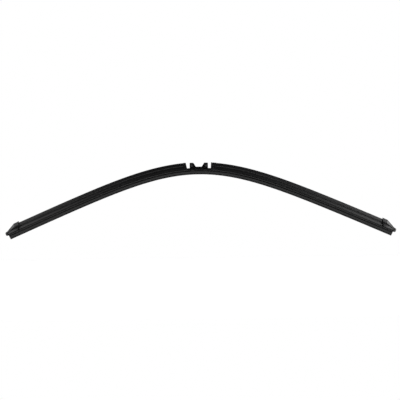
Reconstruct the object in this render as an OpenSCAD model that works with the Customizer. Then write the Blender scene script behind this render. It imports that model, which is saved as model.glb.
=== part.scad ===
// Flat wiper blade, drawn as it lies free: bowed, with its middle up.
// X runs along the blade, Y across it and Z away from the glass.
// The origin is the middle of the bracket's saddle, on its top face.
// A place on the blade is a distance s along the lip from the middle,
// a distance y across, and a height h above the lip, square to it.

/* [Blade] */
// Length of the rubber along its lip
blade_len = 600; // [540:10:660]
// Slope of the free blade at its ends, in degrees
end_angle = 23.7; // [18:0.1:25]
// Distance over which the bow fades out on each side
bow_reach = 97.6; // [90:0.2:120]
// Height of the spoiler's ridge above the lip
blade_h = 18.1; // [17.5:0.1:19.5]
// How far the blade's middle lies right of the bracket's
blade_shift = 2; // [0:0.1:4]

/* [Rubber] */
// Height of the thin lip
lip_h = 1.8; // [1.4:0.1:2.2]
// Thickness of the lip at its wiping edge
lip_t = 0.7; // [0.5:0.05:1]
// Width of the wedge at its shoulders
wedge_w = 4.8; // [4.2:0.1:5.2]
// Thickness of the web that lets the wedge tip over
web_t = 1.1; // [0.9:0.1:1.4]
// Width of the body under the rails
body_w = 5.6; // [5:0.1:6]
// Width of the neck between the rails
neck_w = 2; // [1.6:0.1:2.2]
// Width of the head on top of the rails
head_w = 5.2; // [4.6:0.1:5.4]
// Thickness of the head
head_t = 1.4; // [1.1:0.05:1.6]

/* [Rails] */
// Width of each spring rail
rail_w = 4; // [3.8:0.1:4.4]
// Thickness of each spring rail
rail_t = 1; // [0.8:0.05:1.2]
// Height of the rails' underside above the lip
rail_h = 7.3; // [7.1:0.1:7.6]

/* [Spoiler] */
// Thickness of the spoiler's foot outside the rails
foot_wall = 1; // [0.8:0.1:1.4]
// Width of the waist above the foot
waist_w = 6.3; // [6:0.1:6.8]
// Width of the swelling above the waist
swell_w = 7; // [6.9:0.1:7.4]
// Distance from the bracket's middle to the right end piece's face
right_start = 17; // [16:0.1:19]
// Distance from the bracket's middle to the left end piece's face, at its foot
left_start = 16.4; // [15.6:0.1:18]
// Length of the moulded end piece right of the bracket
right_end_len = 7.4; // [6.5:0.1:9]
// Length of the moulded end piece left of the bracket
left_end_len = 5; // [4.5:0.1:6]
// Lean of the left end piece's face, in degrees
left_end_angle = 8; // [0:1:15]

/* [Bracket] */
// Length of the bracket along the blade
bracket_len = 27.1; // [26:0.1:28]
// Thickness of the bracket's steel
sheet_t = 1.2; // [1:0.05:1.3]
// Height of the ears above the lip
ear_h = 17.25; // [16.5:0.05:18.5]
// Width of each ear at its top
ear_top_w = 5.5; // [5.2:0.1:6]
// Height of the saddle's top face above the lip
saddle_h = 11.5; // [11.2:0.05:12]
// Distance of each cross pin from the bracket's end
pin_inset = 3.15; // [3:0.05:3.4]
// Diameter of the cross pins' free ends
pin_d = 3; // [2.6:0.1:3.2]
// How far the pins stand out of the bracket
pin_out = 1.4; // [1:0.1:2]

/* [End caps] */
// Length of each end cap
cap_len = 25.7; // [23:0.1:28]
// How far the cap's nose passes the rubber
nose_out = 3.7; // [3:0.1:4.4]
// Height of the cap's step above the spoiler's ridge
cap_rise = 1.9; // [1.5:0.1:2.4]
// Length of the cap's level crown
crown_len = 8.4; // [7:0.1:9.5]
// Width of the crown
crown_w = 10.4; // [9.8:0.1:11]
// Width of the cap at the waist under its crown
cap_waist_w = 9.2; // [8.8:0.1:9.6]
// Wall of the cap beside the spoiler
cap_wall = 0.75; // [0.6:0.05:1]

/* [Hidden] */
$fn = 40;

// Clearance between pieces that fit over one another, and a size too small to matter
play = 0.05;
tiny = 0.000001;
// Heights above the lip
wedge_h = 4.5;
shoulder_h = 5.1;
body_h = 5.9;
rail_top = rail_h + rail_t;
head_h = rail_top + play + head_t;
claw_h = rail_h - play - 0.65;
foot_h = rail_top + 0.3;
// Distances across the blade from its middle plane
rail_in = neck_w / 2 + play;
rail_out = rail_in + rail_w;
foot_out = rail_out + play + foot_wall;
claw_in = rail_out - 1.2;

// The bow
half_len = blade_len / 2;
bow_steps = 18;
flat_half = 5;
// Straight stretch inside each cap, and how far it runs on past the rubber
end_zone = cap_len + 3 + blade_shift;
end_run = nose_out + 3 + blade_shift;

// Distance from the bracket's middle to the rubber's end on one side
function end_of(side) = half_len + side * blade_shift;

function tanh_of(x) = (exp(x) - exp(-x)) / (exp(x) + exp(-x));
function sinh_of(x) = (exp(x) - exp(-x)) / 2;
function slope(s) = end_angle * tanh_of(s / bow_reach);

// Stations on one side: close together at the middle, wider towards the end
stations = concat(
    [for (i = [0:bow_steps])
        flat_half + (half_len - end_zone - flat_half) * sinh_of(2 * i / bow_steps) / sinh_of(2)],
    [half_len + end_run]);
last = len(stations) - 1;
chords = [for (i = [0:last - 1]) slope((stations[i] + stations[i + 1]) / 2)];
end_tilt = chords[last - 1];

// Lip points in the XZ plane, and the direction square to the lip at each
function run(i) = i == 0 ? [flat_half, 0]
    : run(i - 1) + (stations[i] - stations[i - 1]) * [cos(chords[i - 1]), -sin(chords[i - 1])];
function up(a) = [sin(a), cos(a)];
function mitre(a, b) = (up(a) + up(b)) / (1 + up(a) * up(b));
function normal(i) = mitre(i == 0 ? 0 : chords[i - 1], i == last ? chords[last - 1] : chords[i]);
lip = [for (i = [0:last]) run(i)];
normals = [for (i = [0:last]) normal(i)];

function column(points, k, first) =
    concat([[0, first]], [for (i = [0:last]) [stations[i], points[i][k]]]);
lip_x = column(lip, 0, 0);
lip_z = column(lip, 1, 0);
normal_x = column(normals, 0, 0);
normal_z = column(normals, 1, normals[0][1]);

// The point at distance s along the blade, y across and h above the lip
function place(s, y, h) = [
    sign(s) * (lookup(abs(s), lip_x) + h * lookup(abs(s), normal_x)),
    y,
    lookup(abs(s), lip_z) + h * lookup(abs(s), normal_z) - saddle_h];

// All stations from a to b, with both ends
both_sides = concat([for (i = [last:-1:0]) -stations[i]], stations);
function between(a, b) = concat([a], [for (s = both_sides) if (s > a && s < b) s], [b]);

// How far the rails' surfaces lie below their middle at distance x
function sag(x) = -lookup(x, lip_z) + rail_top * (1 - lookup(x, normal_z));

// Outlines across the blade, right half from the bottom up
function flip(half) = [for (p = half) [-p[0], p[1]]];
function reverse(list) = [for (i = [len(list) - 1:-1:0]) list[i]];
function solid_ring(half) = concat(half, reverse(flip(half)));
function open_ring(outer, inner) = concat(outer, reverse(flip(outer)), flip(inner), reverse(inner));

rubber_half = [
    [lip_t / 2, 0],
    [lip_t / 2 + 0.08, lip_h],
    [wedge_w / 2, wedge_h],
    [wedge_w / 2, shoulder_h],
    [web_t / 2, shoulder_h],
    [web_t / 2, body_h],
    [body_w / 2 - 0.4, body_h],
    [body_w / 2, body_h + 0.4],
    [body_w / 2, rail_h - play],
    [neck_w / 2, rail_h - play],
    [neck_w / 2, rail_top + play],
    [head_w / 2, rail_top + play],
    [head_w / 2, head_h - 0.4],
    [head_w / 2 - 0.4, head_h]];

// Foot, waist and fin, made wider by more, with the ridge at height top
function fin_half(more, top, waist, swelling) =
    let (rise = top - foot_h, foot = foot_out + more, neck = waist / 2 + more,
        swell = swelling / 2 + more)
    concat(
        [[foot - 0.5, claw_h], [foot, claw_h + 0.5], [foot, foot_h - 0.4]],
        [for (k = [[0, 0.93], [0.08, 0.68], [0.18, 0.42], [0.28, 0.2], [0.38, 0.05], [0.46, 0]])
            [neck + (foot - neck) * k[1], foot_h + rise * k[0]]],
        [for (k = [[0.51, 1], [0.58, 0.985], [0.7, 0.79], [0.83, 0.56], [0.93, 0.36],
            [0.98, 0.22], [1, 0.09]])
            [swell * k[1], foot_h + rise * k[0]]]);

// Inside of the claws and the rail pockets, from the bottom up
pocket_half = [
    [claw_in, claw_h],
    [claw_in, rail_h - play],
    [rail_out + play, rail_h - play],
    [rail_out + play, rail_top + play]];

function hollow(t) = foot_h + t * (blade_h - foot_h);
spoiler_hollow = [
    [head_w / 2 + 0.9, rail_top + play],
    [head_w / 2 + 0.4, head_h + 0.4],
    [waist_w / 2 - 0.9, hollow(0.38)],
    [waist_w / 2 - 0.9, hollow(0.58)],
    [1.2, hollow(0.78)],
    [0.3, hollow(0.86)]];
end_hollow = [
    [head_w / 2 + 0.3, rail_top + play],
    [head_w / 2 + 0.3, head_h + 0.15]];

// Triangles that fill a flat outline, cut off it one ear at a time
function turn(a, b, c) = (b[0] - a[0]) * (c[1] - a[1]) - (b[1] - a[1]) * (c[0] - a[0]);
function covers(a, b, c, p) = turn(a, b, p) > -tiny && turn(b, c, p) > -tiny && turn(c, a, p) > -tiny;
function corner(left, k) = [for (step = [-1:1]) left[(k + step + len(left)) % len(left)]];
function is_ear(ring, left, tri) =
    let (a = ring[tri[0]], b = ring[tri[1]], c = ring[tri[2]])
    turn(a, b, c) > tiny
    && len([for (i = left) if (len(search(i, tri)) == 0 && covers(a, b, c, ring[i])) i]) == 0;
function ears(ring, left) = len(left) < 4 ? [left] :
    let (tips = [for (k = [0:len(left) - 1]) if (is_ear(ring, left, corner(left, k))) k])
    concat([corner(left, tips[0])],
        ears(ring, [for (k = [0:len(left) - 1]) if (k != tips[0]) left[k]]));

// A solid through rings in space, each with the points of the same flat outline
module skin(rings, outline) {
    n = len(outline);
    top = len(rings) - 1;
    lid = ears(outline, [for (j = [0:n - 1]) j]);
    sides = [for (i = [0:top - 1], j = [0:n - 1])
        [i * n + j, (i + 1) * n + j, (i + 1) * n + (j + 1) % n, i * n + (j + 1) % n]];
    ends = concat(lid, [for (tri = lid) [for (j = reverse(tri)) top * n + j]]);
    polyhedron([for (ring = rings) each ring], concat(sides, ends), convexity = 6);
}

// An outline run along the blade from a to b
module along(outline, a, b) {
    skin([for (s = between(a, b)) [for (p = outline) place(s, p[0], p[1])]], outline);
}

// Children drawn at the right end: X outwards from the rubber's end, Z up from the lip
module at_end(side) {
    mirror([side < 0 ? 1 : 0, 0, 0])
        translate(place(end_of(side), 0, 0)) rotate([0, end_tilt, 0]) children();
}

module wiper_rubber() {
    color("#1c1c1d") along(solid_ring(rubber_half), -end_of(-1), end_of(1));
}

// The rails stop inside the caps, and each has a latch notch near both ends
rail_stop = 1.5;
notch_x = -6;
notch_len = 2.4;
notch_deep = 0.8;

module rail(side) {
    stops = between(rail_stop - end_of(-1), end_of(1) - rail_stop);
    top = [for (s = stops) place(s, 0, rail_top)];
    under = [for (s = stops) place(s, 0, rail_h)];
    outline = [for (p = concat(top, reverse(under))) [p[0], p[2]]];
    y_far = side > 0 ? rail_out : -rail_in;
    notch_y = side > 0 ? rail_out - notch_deep : -rail_out - 1;
    difference() {
        translate([0, y_far, 0]) rotate([90, 0, 0]) linear_extrude(rail_w) polygon(outline);
        for (end = [-1, 1])
            at_end(end) translate([notch_x - notch_len / 2, notch_y, rail_h - 1])
                cube([notch_len, notch_deep + 1, rail_t + 2]);
    }
}

module rail_front() { color("#2b2b2c") rail(-1); }
module rail_rear() { color("#2b2b2c") rail(1); }

// Bracket: two side walls that grip the rails, joined by a saddle at the middle.
// The steel of the saddle's ends is folded up into the four ears.
wall_in = rail_out + 2 * play;
wall_out = wall_in + sheet_t;
ear_far = bracket_len / 2;
ear_near = ear_far - ear_top_w;
saddle_half = ear_near - 3.65;
saddle_bend = 1.6;
skirt_h = rail_h - 0.3;
grip_x = ear_far - 4.25;
grip_half = 1.25;
dent_deep = 0.6;
dent_h = 1.3;
claw_half = 2;
pin_x = ear_far - pin_inset;
pin_h = rail_top + 5;
shank_d = pin_d + 0.4;

module wall_outline() {
    difference() {
        offset(r = 0.7) offset(delta = -0.7)
            polygon([
                [ear_far, skirt_h], [ear_far, ear_h], [ear_near, ear_h], [saddle_half, saddle_h],
                [saddle_half - 1.5, saddle_h], [1.5 - saddle_half, saddle_h],
                [-saddle_half, saddle_h], [-ear_near, ear_h], [-ear_far, ear_h], [-ear_far, skirt_h]]);
        translate([-saddle_half, saddle_h - saddle_bend]) square([2 * saddle_half, 2 * saddle_bend]);
        translate([-saddle_half - 1, 0]) square([2 * saddle_half + 2, skirt_h + 1]);
    }
}

// One side wall with its pin holes and the dents that press the inner tabs out
module side_wall() {
    difference() {
        translate([0, wall_out, 0]) rotate([90, 0, 0]) linear_extrude(sheet_t) wall_outline();
        for (x = [-1, 1]) {
            translate([x * pin_x, wall_in - 1, pin_h]) rotate([-90, 0, 0])
                cylinder(d = shank_d, h = sheet_t + 2);
            translate([x * grip_x - grip_half, wall_out - dent_deep, rail_top])
                cube([2 * grip_half, 1, dent_h]);
        }
    }
    for (x = [-1, 1]) {
        // Inner tab that rests on the rail, and the claw folded under it
        translate([x * grip_x - grip_half, wall_in - 1.5, rail_top - sag(grip_x - grip_half) + play])
            cube([2 * grip_half, 1.6, sheet_t - 0.2]);
        translate([x * grip_x - claw_half, wall_in - 1.3, rail_h - sag(grip_x + claw_half) - play - 0.9])
            cube([2 * claw_half, 1.3 + sheet_t, 0.9]);
        translate([x * grip_x - claw_half, wall_in, rail_h - 1]) cube([2 * claw_half, sheet_t, 1]);
    }
}

module saddle_section() {
    w = wall_out - saddle_bend;
    difference() {
        intersection() {
            translate([-w, saddle_bend]) offset(r = saddle_bend)
                square([2 * w, saddle_h - 2 * saddle_bend]);
            translate([-wall_out, skirt_h + 1]) square([2 * wall_out, saddle_h]);
        }
        translate([-wall_in, 0]) square([2 * wall_in, saddle_h - sheet_t]);
    }
}

module mount_bracket() {
    color("#0c0c0d") translate([0, 0, -saddle_h]) {
        side_wall();
        mirror([0, 1, 0]) side_wall();
        translate([-saddle_half, 0, 0]) rotate([90, 0, 90])
            linear_extrude(2 * saddle_half) saddle_section();
    }
}

// The pin's shank is pressed into both walls, and its thinner ends stand out of them
module cross_pin(x) {
    half = wall_out + pin_out;
    color("#3a3a3c") translate([x, 0, pin_h - saddle_h]) rotate([90, 0, 0]) {
        cylinder(d = pin_d, h = 2 * half, center = true);
        cylinder(d = shank_d, h = 2 * wall_out, center = true);
    }
}

module pin_left() { cross_pin(-pin_x); }
module pin_right() { cross_pin(pin_x); }

// Spoilers run from the end pieces into the caps
cap_grip = 9;
function spoiler_stop(side) = end_of(side) + nose_out - cap_len + cap_grip;
spoiler_ring = open_ring(fin_half(0, blade_h, waist_w, swell_w), concat(pocket_half, spoiler_hollow));

module spoiler_left() {
    color("#19191a") along(spoiler_ring, -spoiler_stop(-1), -left_start - left_end_len - play);
}

module spoiler_right() {
    color("#19191a") along(spoiler_ring, right_start + right_end_len + play, spoiler_stop(1));
}

// Moulded end pieces: a little fatter than the spoiler, with upright grooves
rib_more = 0.4;
groove_more = 0.1;
groove_slope = 0.15;
groove_len = 0.9;

function end_ring(more) =
    open_ring(fin_half(more, blade_h + more, waist_w + 0.6, swell_w), concat(pocket_half, end_hollow));

// Stations and fatness of one end piece of the given length with some grooves
function end_steps(length, grooves) =
    let (pitch = length / (grooves + 1))
    concat([[0, rib_more]],
        [for (g = [1:grooves],
            k = [[-1, 0, rib_more], [-1, 1, groove_more], [1, -1, groove_more], [1, 0, rib_more]])
            [g * pitch + k[0] * groove_len / 2 + k[1] * groove_slope, k[2]]],
        [[length, rib_more]]);

module spoiler_end(side, start, length, grooves, lean) {
    skin([for (step = side > 0 ? end_steps(length, grooves) : reverse(end_steps(length, grooves)))
        [for (p = end_ring(step[1]))
            place(side * (start + step[0] + (p[1] - claw_h) * tan(lean) * (1 - step[0] / length)),
                p[0], p[1])]], end_ring(0));
}

module spoiler_end_left() {
    color("#151516") spoiler_end(-1, left_start, left_end_len, 1, left_end_angle);
}

module spoiler_end_right() {
    color("#151516") spoiler_end(1, right_start, right_end_len, 2, 0);
}

// End caps, drawn in the straight frame of the blade's end
cap_in = nose_out - cap_len;
cap_more = 0.1 + cap_wall;
cap_waist = cap_waist_w - 2 * cap_more;
cap_swell = crown_w - 2 * cap_more;
nose_h = rail_top + 2.3;
crown_h = blade_h + cap_rise;
crown_end = cap_in + crown_len;
crown = [[cap_in, crown_h], [crown_end, crown_h - 0.3], [-0.5, nose_h + 2.6], [nose_out, nose_h + 1.6]];
nose_start = 0.8;

// One ring of the cap at x: the spoiler's outline made fatter, as tall as the crown there
function cap_outline(top) = solid_ring(fin_half(cap_more, top, cap_waist, cap_swell));
function cap_ring(x, shrink) = [for (p = cap_outline(lookup(x, crown)))
    [x, p[0] * shrink, nose_h + (p[1] - nose_h) * shrink]];
nose_turns = [15:15:75];

module cap_body() {
    skin(concat(
        [for (x = [cap_in, cap_in + crown_len / 2, crown_end, -9, -5, -0.5, nose_start]) cap_ring(x, 1)],
        [for (a = nose_turns)
            cap_ring(nose_start + (nose_out - nose_start) * sin(a), 0.35 + 0.65 * cos(a))],
        [cap_ring(nose_out, 0.35 + 0.65 * cos(82))]), cap_outline(crown_h));
}

// Room for the spoiler, then for the rails and the rubber
module cap_room() {
    reach = cap_in + cap_grip + 0.2;
    room = solid_ring(concat([[foot_out + 0.1, claw_h - 2]],
        [for (p = fin_half(0.1, blade_h + 0.15, cap_waist, swell_w)) if (p[1] > claw_h + 1) p]));
    skin([for (x = [cap_in - 1, reach]) [for (p = room) [x, p[0], p[1]]]], room);
    rail_room = rail_out + 2 * play;
    translate([cap_in, -rail_room, rail_h - 2 * play])
        cube([-rail_stop + 0.3 - cap_in, 2 * rail_room, rail_t + 4 * play]);
    head_room = head_w / 2 + 2 * play;
    translate([cap_in, -head_room, rail_top]) cube([0.2 - cap_in, 2 * head_room, head_t + 3 * play]);
    neck_room = neck_w / 2 + 2 * play;
    translate([cap_in, -neck_room, rail_h - 1]) cube([0.2 - cap_in, 2 * neck_room, rail_t + 2]);
    body_room = body_w / 2 + 2 * play;
    translate([cap_in, -body_room, claw_h - 2])
        cube([0.2 - cap_in, 2 * body_room, rail_h + play - claw_h + 2]);
}

// Two lugs snap into the notches of the rails
module cap_lug() {
    lug_len = notch_len - 0.6;
    lug_in = rail_out - notch_deep + 2 * play;
    translate([notch_x - lug_len / 2, lug_in, rail_h - 3 * play])
        cube([lug_len, notch_deep + 0.3, rail_t + 6 * play]);
}

module end_cap(side) {
    color("#141415") at_end(side) {
        difference() {
            cap_body();
            cap_room();
        }
        cap_lug();
        mirror([0, 1, 0]) cap_lug();
    }
}

module end_cap_left() { end_cap(-1); }
module end_cap_right() { end_cap(1); }

wiper_rubber();
rail_front();
rail_rear();
mount_bracket();
pin_left();
pin_right();
spoiler_left();
spoiler_right();
spoiler_end_left();
spoiler_end_right();
end_cap_left();
end_cap_right();
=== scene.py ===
# %% [markdown]
# # A flat wiper blade
#
# The blade is a strip of rubber on two steel rails, under a black spoiler in two lengths.
# A folded bracket joins it to the arm, and a cap closes each end.
# Seen from above it is straight, and seen from the side it bows like a shallow arch, because
# it has to press on a curved windscreen along its whole length.
# So nearly all of it can be modelled straight, as a bar with a constant section, and bent at
# the end along one curve. That is also how the real one is made.

# %% Load the measured model
import math

import bmesh
import bpy
from mathutils import Matrix, Vector


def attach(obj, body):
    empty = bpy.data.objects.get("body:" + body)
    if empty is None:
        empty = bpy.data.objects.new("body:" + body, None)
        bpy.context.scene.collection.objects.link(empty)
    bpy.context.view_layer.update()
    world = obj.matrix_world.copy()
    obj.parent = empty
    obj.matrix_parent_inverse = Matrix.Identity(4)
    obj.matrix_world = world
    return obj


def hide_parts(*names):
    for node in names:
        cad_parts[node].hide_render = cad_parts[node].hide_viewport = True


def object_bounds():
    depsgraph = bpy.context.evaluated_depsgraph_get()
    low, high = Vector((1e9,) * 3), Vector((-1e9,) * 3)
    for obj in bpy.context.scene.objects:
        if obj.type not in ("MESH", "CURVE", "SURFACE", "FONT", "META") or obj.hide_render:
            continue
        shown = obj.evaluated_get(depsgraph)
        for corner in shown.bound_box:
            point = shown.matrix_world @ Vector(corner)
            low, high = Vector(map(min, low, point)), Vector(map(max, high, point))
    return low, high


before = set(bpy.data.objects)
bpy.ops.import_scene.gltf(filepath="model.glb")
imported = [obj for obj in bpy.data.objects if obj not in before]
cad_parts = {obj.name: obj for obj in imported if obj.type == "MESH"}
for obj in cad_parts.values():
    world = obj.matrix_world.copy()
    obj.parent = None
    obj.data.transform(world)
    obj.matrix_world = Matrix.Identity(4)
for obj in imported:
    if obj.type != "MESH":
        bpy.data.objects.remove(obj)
cad_box = [list(corner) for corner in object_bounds()]
MM = 0.001
print("measured model:", len(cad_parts), "solids")

# %% [markdown]
# ## Camera
#
# The picture was taken square from the side, from far enough away that the section hardly
# shows any perspective. A long lens does the same. The blade lies a little crooked in the
# picture, its right end higher, and turning the camera about its own axis gives that tilt.

# %% Set the camera
FRAME_WIDTH = 0.5942
LENS = 110.0
ROLL = math.radians(-0.73)
AIM = Vector((1.17 * MM, -3 * MM, -49.6 * MM))

camera_data = bpy.data.cameras.new("camera")
camera_data.lens = LENS
camera_data.sensor_width = 36.0
camera = bpy.data.objects.new("camera", camera_data)
bpy.context.scene.collection.objects.link(camera)
distance = FRAME_WIDTH * LENS / camera_data.sensor_width
camera.matrix_world = (Matrix.Translation(AIM - Vector((0, distance, 0)))
                       @ Matrix.Rotation(math.radians(90), 4, "X")
                       @ Matrix.Rotation(ROLL, 4, "Z"))
bpy.context.scene.camera = camera
print("camera distance", round(distance, 3), "m")

# %% [markdown]
# ## Working by hand, in code
#
# Each step below is one that could be done with the mouse. A few small helpers stand for it:
# they pick an object, open and close its edit mode, select what lies where a test says, and
# pull out what is selected.

# %% Pick, open and select
def pick(piece):
    """Makes piece the only selected object, and the active one."""
    bpy.ops.object.select_all(action="DESELECT")
    piece.select_set(True)
    bpy.context.view_layer.objects.active = piece
    return piece


def open_mesh(piece):
    pick(piece)
    bpy.ops.object.mode_set(mode="EDIT")


def close_mesh():
    bpy.ops.object.mode_set(mode="OBJECT")
    return bpy.context.object


def close_outward():
    """Turns all faces outward and leaves edit mode."""
    bpy.ops.mesh.select_all(action="SELECT")
    bpy.ops.mesh.normals_make_consistent(inside=False)
    return close_mesh()


def mark(kind, wanted):
    """In edit mode, selects only the VERTs, EDGEs or FACEs for which wanted(item) holds."""
    bpy.ops.mesh.select_mode(type=kind)
    bpy.ops.mesh.select_all(action="DESELECT")
    mesh = bmesh.from_edit_mesh(bpy.context.edit_object.data)
    for item in {"VERT": mesh.verts, "EDGE": mesh.edges, "FACE": mesh.faces}[kind]:
        if wanted(item):
            item.select_set(True)
    mesh.select_flush_mode()
    bmesh.update_edit_mesh(bpy.context.edit_object.data)


def pull(x=0.0, y=0.0, z=0.0):
    """Extrudes what is selected by that many millimetres."""
    bpy.ops.mesh.extrude_region_move(
        TRANSFORM_OT_translate={"value": (x * MM, y * MM, z * MM)})


# %% [markdown]
# A section is drawn as with a pen: a small plane is merged to one vertex, the vertex is
# extruded from corner to corner, and the closed line is filled.
# Where the real section is rounded, `flowing` puts more points on a smooth line between
# the measured ones. Most sections are the same left and right, so only half is written down.

# %% Draw a section
def flowing(points, steps=4):
    """A smooth line through the points, with steps on each stretch."""
    line = []
    for i in range(len(points) - 1):
        a, b = Vector(points[i]), Vector(points[i + 1])
        before = Vector(points[i - 1]) if i else a * 2 - b
        after = Vector(points[i + 2]) if i + 2 < len(points) else b * 2 - a
        for k in range(steps):
            t = k / steps
            line.append(0.5 * (2 * a + (b - before) * t
                               + (2 * before - 5 * a + 4 * b - after) * t * t
                               + (3 * a - before - 3 * b + after) * t ** 3))
    return [tuple(p) for p in line] + [tuple(points[-1])]


def both_halves(half):
    """A half section with its mirror image."""
    return list(half) + [(-y, h) for y, h in reversed(half)]


def trace(name, corners):
    """Draws the closed outline through corners, in millimetres, and fills it."""
    corners = [Vector(c) * MM for c in corners]
    bpy.ops.object.select_all(action="DESELECT")
    bpy.ops.mesh.primitive_plane_add(size=MM, location=corners[0])
    piece = bpy.context.object
    piece.name = piece.data.name = name
    bpy.ops.object.transform_apply(location=True, rotation=True, scale=True)
    bpy.ops.object.mode_set(mode="EDIT")
    bpy.ops.mesh.select_mode(type="VERT")
    bpy.ops.mesh.select_all(action="SELECT")
    bpy.ops.mesh.merge(type="CENTER")
    for here, there in zip(corners, corners[1:]):
        bpy.ops.mesh.extrude_vertices_move(TRANSFORM_OT_translate={"value": there - here})
    bpy.ops.mesh.select_all(action="SELECT")
    bpy.ops.mesh.edge_face_add()
    return piece


def bar(name, section, start, end):
    """A straight bar along X with that section of (y, height) points."""
    piece = trace(name, [(start, y, h) for y, h in section])
    pull(x=end - start)
    return close_outward()


# %% [markdown]
# The modifiers do what hands would do badly: round every sharp edge by the same small
# radius, cut one solid with another, and shade the result smooth but for its edges.

# %% Finish a piece
def apply(piece, kind, **settings):
    """Adds a modifier with these settings and applies it."""
    pick(piece)
    modifier = piece.modifiers.new("step", kind)
    for name, value in settings.items():
        setattr(modifier, name, value)
    bpy.ops.object.modifier_apply(modifier=modifier.name)
    return piece


def soften(piece, radius, angle=32):
    """Rounds the edges that turn by more than angle."""
    return apply(piece, "BEVEL", width=radius * MM, segments=2,
                 limit_method="ANGLE", angle_limit=math.radians(angle))


def cut(piece, tool, operation="DIFFERENCE"):
    """Cuts piece with the tool, or joins them, and throws the tool away."""
    apply(piece, "BOOLEAN", object=tool, operation=operation, solver="EXACT")
    bpy.data.objects.remove(tool)
    return piece


def tidy(piece, angle=32):
    """Merges doubles, turns the faces outwards, and shades smooth except at edges."""
    open_mesh(piece)
    bpy.ops.mesh.select_all(action="SELECT")
    bpy.ops.mesh.remove_doubles(threshold=0.002 * MM)
    close_outward()
    bpy.ops.object.shade_smooth_by_angle(angle=math.radians(angle))
    return apply(piece, "WEIGHTED_NORMAL", keep_sharp=True)


# %% [markdown]
# ## The bow
#
# The free blade is flat at the bracket, bends most just beside it, and runs out nearly
# straight into the caps. Its slope grows with the distance from the middle like a hyperbolic
# tangent, towards 23.7 degrees. The curve is laid out step by step along the rubber's lip.
# A Curve modifier then carries each straight piece onto it: X becomes the distance along
# the lip, and Z stays square to it.

# %% Lay out the bow
HALF_LENGTH, BLADE_SHIFT = 300.0, 2.0
CAP_LEN, NOSE_OUT = 25.7, 3.7
END_SLOPE = 23.7
BOW_REACH = 97.6
FLAT_HALF, MARGIN = 5.0, 3.0
STRAIGHT_FROM = HALF_LENGTH - CAP_LEN - MARGIN - BLADE_SHIFT
CURVE_END = HALF_LENGTH + NOSE_OUT + MARGIN + BLADE_SHIFT
LIP_BELOW_SEAT = 11.5


def end_of(side):
    """Where the rubber ends on one side; the bracket sits a little left of the middle."""
    return HALF_LENGTH + side * BLADE_SHIFT


def slope(s):
    """The bow's slope that far along the lip."""
    return math.radians(END_SLOPE) * math.tanh(s / BOW_REACH)


END_TILT = slope((STRAIGHT_FROM + CURVE_END) / 2)


def half_bow():
    """Points on the lip, from the middle to one end of the curve."""
    s, x, z = FLAT_HALF, FLAT_HALF, 0.0
    points = [(0.0, 0.0), (x, z)]
    while s < CURVE_END - 1e-6:
        bent = s < STRAIGHT_FROM - 1e-6
        step = min(1.0, STRAIGHT_FROM - s) if bent else CURVE_END - s
        angle = slope(s + step / 2) if bent else END_TILT
        x, z, s = x + step * math.cos(angle), z - step * math.sin(angle), s + step
        points.append((x, z))
    return points


right = half_bow()
line = [(-x, z) for x, z in reversed(right[1:])] + right
bow_data = bpy.data.curves.new("bow", "CURVE")
bow_data.dimensions = "3D"
bow_data.twist_mode = "Z_UP"
spline = bow_data.splines.new("POLY")
spline.points.add(len(line) - 1)
for point, (x, z) in zip(spline.points, line):
    point.co = (x * MM, 0, (z - LIP_BELOW_SEAT) * MM, 1)
bow = bpy.data.objects.new("bow", bow_data)
bpy.context.scene.collection.objects.link(bow)
print("the bow drops", round(-right[-1][1], 1), "mm at its ends")


# %% [markdown]
# The bar needs many short stretches to bend smoothly, so its long edges are subdivided
# first. Each point also remembers where it was on the straight blade: the finishes read that,
# so that streaks from the extruder follow the bow.

# %% Bend a straight piece
def remember(piece):
    """Stores each point's place on the straight blade, for the finishes."""
    kept = piece.data.attributes.new("straight", "FLOAT_VECTOR", "POINT")
    places = [0.0] * (3 * len(piece.data.vertices))
    piece.data.vertices.foreach_get("co", places)
    kept.data.foreach_set("vector", places)


def divide(piece, longest):
    """Cuts the long edges into stretches of that many millimetres at most."""
    open_mesh(piece)
    spans = [abs(e.verts[0].co.x - e.verts[1].co.x)
             for e in bmesh.from_edit_mesh(piece.data).edges]
    span = max(spans)
    mark("EDGE", lambda e: abs(e.verts[0].co.x - e.verts[1].co.x) > span / 2)
    bpy.ops.mesh.subdivide(number_cuts=max(1, round(span / MM / longest) - 1))
    close_mesh()


def bend(piece):
    """Carries a straight piece onto the bow."""
    remember(piece)
    piece.location.x = CURVE_END * MM
    apply(piece, "CURVE", object=bow, deform_axis="POS_X")
    bpy.ops.object.transform_apply(location=True, rotation=True, scale=True)
    return piece


# %% [markdown]
# ## The squeegee
#
# The rubber is one extrusion. From below it has a thin lip that wipes, a wedge, a narrow web
# over which the wedge tips each time the arm turns back, a body with two side grooves for
# the rails, and a head. Drawing the section and pulling it out is the only sensible way.

# %% Model the squeegee
RAIL_LOW, RAIL_TOP = 7.3, 8.3
PLAY = 0.05

lip_and_wedge = flowing([(0.42, 1.2), (0.48, 1.9), (0.8, 2.45), (1.6, 3.5), (2.33, 4.4)], 3)
web = [(2.4, 4.55), (2.4, 5.1), (0.62, 5.1), (0.55, 5.17), (0.55, 5.83), (0.62, 5.9)]
body = [(2.4, 5.9), (2.8, 6.3), (2.8, RAIL_LOW - PLAY), (1.0, RAIL_LOW - PLAY)]
head = [(1.0, RAIL_TOP + PLAY), (2.6, RAIL_TOP + PLAY), (2.6, 9.35), (2.2, 9.75)]
rubber_half = [(0.35, 0)] + lip_and_wedge + web + body + head
squeegee = bar("squeegee", both_halves(rubber_half), -end_of(-1), end_of(1))
soften(squeegee, 0.09)
divide(squeegee, 4)
bend(squeegee)
tidy(squeegee)
print("squeegee:", len(squeegee.data.polygons), "faces")

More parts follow.
